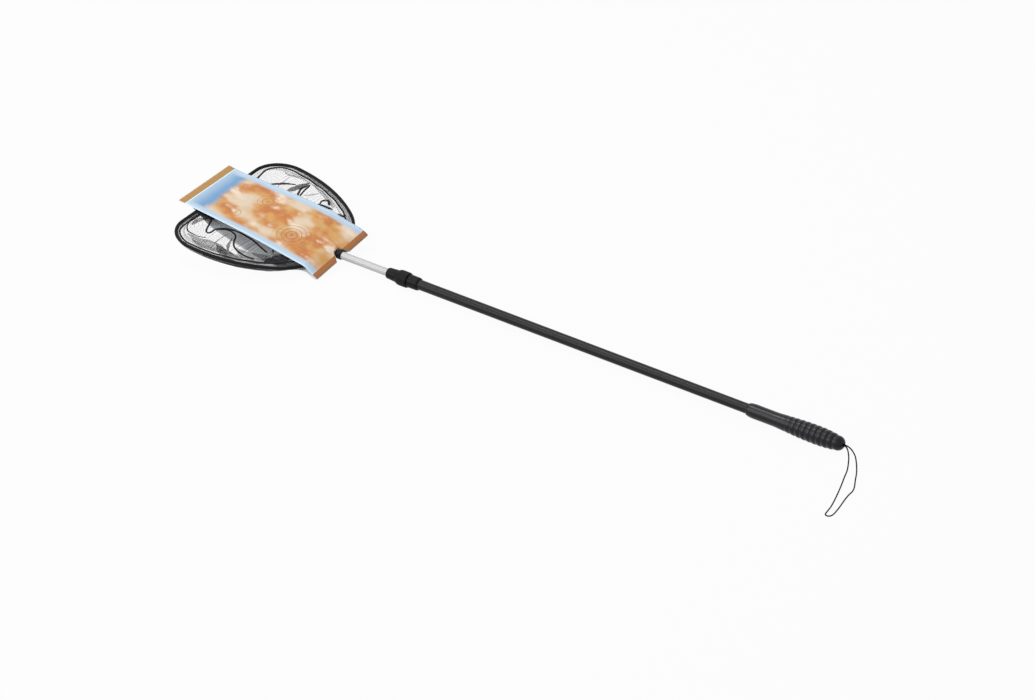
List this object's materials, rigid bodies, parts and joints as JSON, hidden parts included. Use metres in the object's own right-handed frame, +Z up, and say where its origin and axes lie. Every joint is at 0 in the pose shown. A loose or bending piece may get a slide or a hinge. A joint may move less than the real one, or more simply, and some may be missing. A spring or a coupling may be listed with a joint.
{
  "type": "pond net",
  "caption": "Telescopic pond net: a wide hoop of fine netting in a printed wrap card, a neck socket, a sliding inner tube, a twist lock, an outer tube, a ribbed grip and a wrist loop.",
  "frame": {"origin": "on the floor under the middle of the object's box, without the lanyard", "axes": "+X along the shaft from the hoop to the grip, +Y across the hoop, +Z up"},
  "size_m": [1.5371, 0.3644, 0.0553],
  "materials": {
    "black_tube": "black satin coating",
    "grip_rubber": "matt moulded",
    "plug_plastic": "moulded",
    "lanyard": "braided cord",
    "clamp_plastic": "satin moulded",
    "nylon": "natural nylon",
    "satin_tube": "satin anodised",
    "rivet": "black",
    "hoop_paint": "black coating",
    "hem_fabric": "woven tape",
    "netting": "fine square netting",
    "printed_card": "printed card, satin"
  },
  "bodies": {
    "handle": {"outer_tube": "black_tube", "grip": "grip_rubber", "end_plug": "plug_plastic", "lanyard_knot": "lanyard", "lanyard_cord": "lanyard", "clamp_base": "clamp_plastic", "clamp_collet": "nylon"},
    "nut": {"clamp_nut": "clamp_plastic"},
    "slider": {"guide_bush": "nylon"},
    "head": {"inner_tube": "satin_tube", "tail_plug": "plug_plastic", "neck_socket": "clamp_plastic", "socket_rivet": "rivet", "hoop_rod": "hoop_paint", "hem_binding": "hem_fabric", "hem_skirt": "hem_fabric", "net_bag": "netting", "seam_tape": "hem_fabric", "card_back": "printed_card"},
    "card_flap": {"card_front": "printed_card"}
  },
  "joints": [
    {"name": "nut_turn", "type": "hinge", "parent": "handle", "child": "nut", "pos_m": [-0.27607, 0, 0.0175], "axis": [1, 0, 0], "range_deg": [0, 180]},
    {"name": "tube_slide", "type": "slide", "parent": "handle", "child": "slider", "axis": [-1, 0, 0], "range_m": [0, 0.72]},
    {"name": "head_turn", "type": "hinge", "parent": "slider", "child": "head", "pos_m": [0.48443, 0, 0.0175], "axis": [1, 0, 0], "continuous": true},
    {"name": "card_lift", "type": "hinge", "parent": "head", "child": "card_flap", "pos_m": [-0.39714, 0, 0.01606], "axis": [0, 1, 0], "range_deg": [0, 120]}
  ]
}
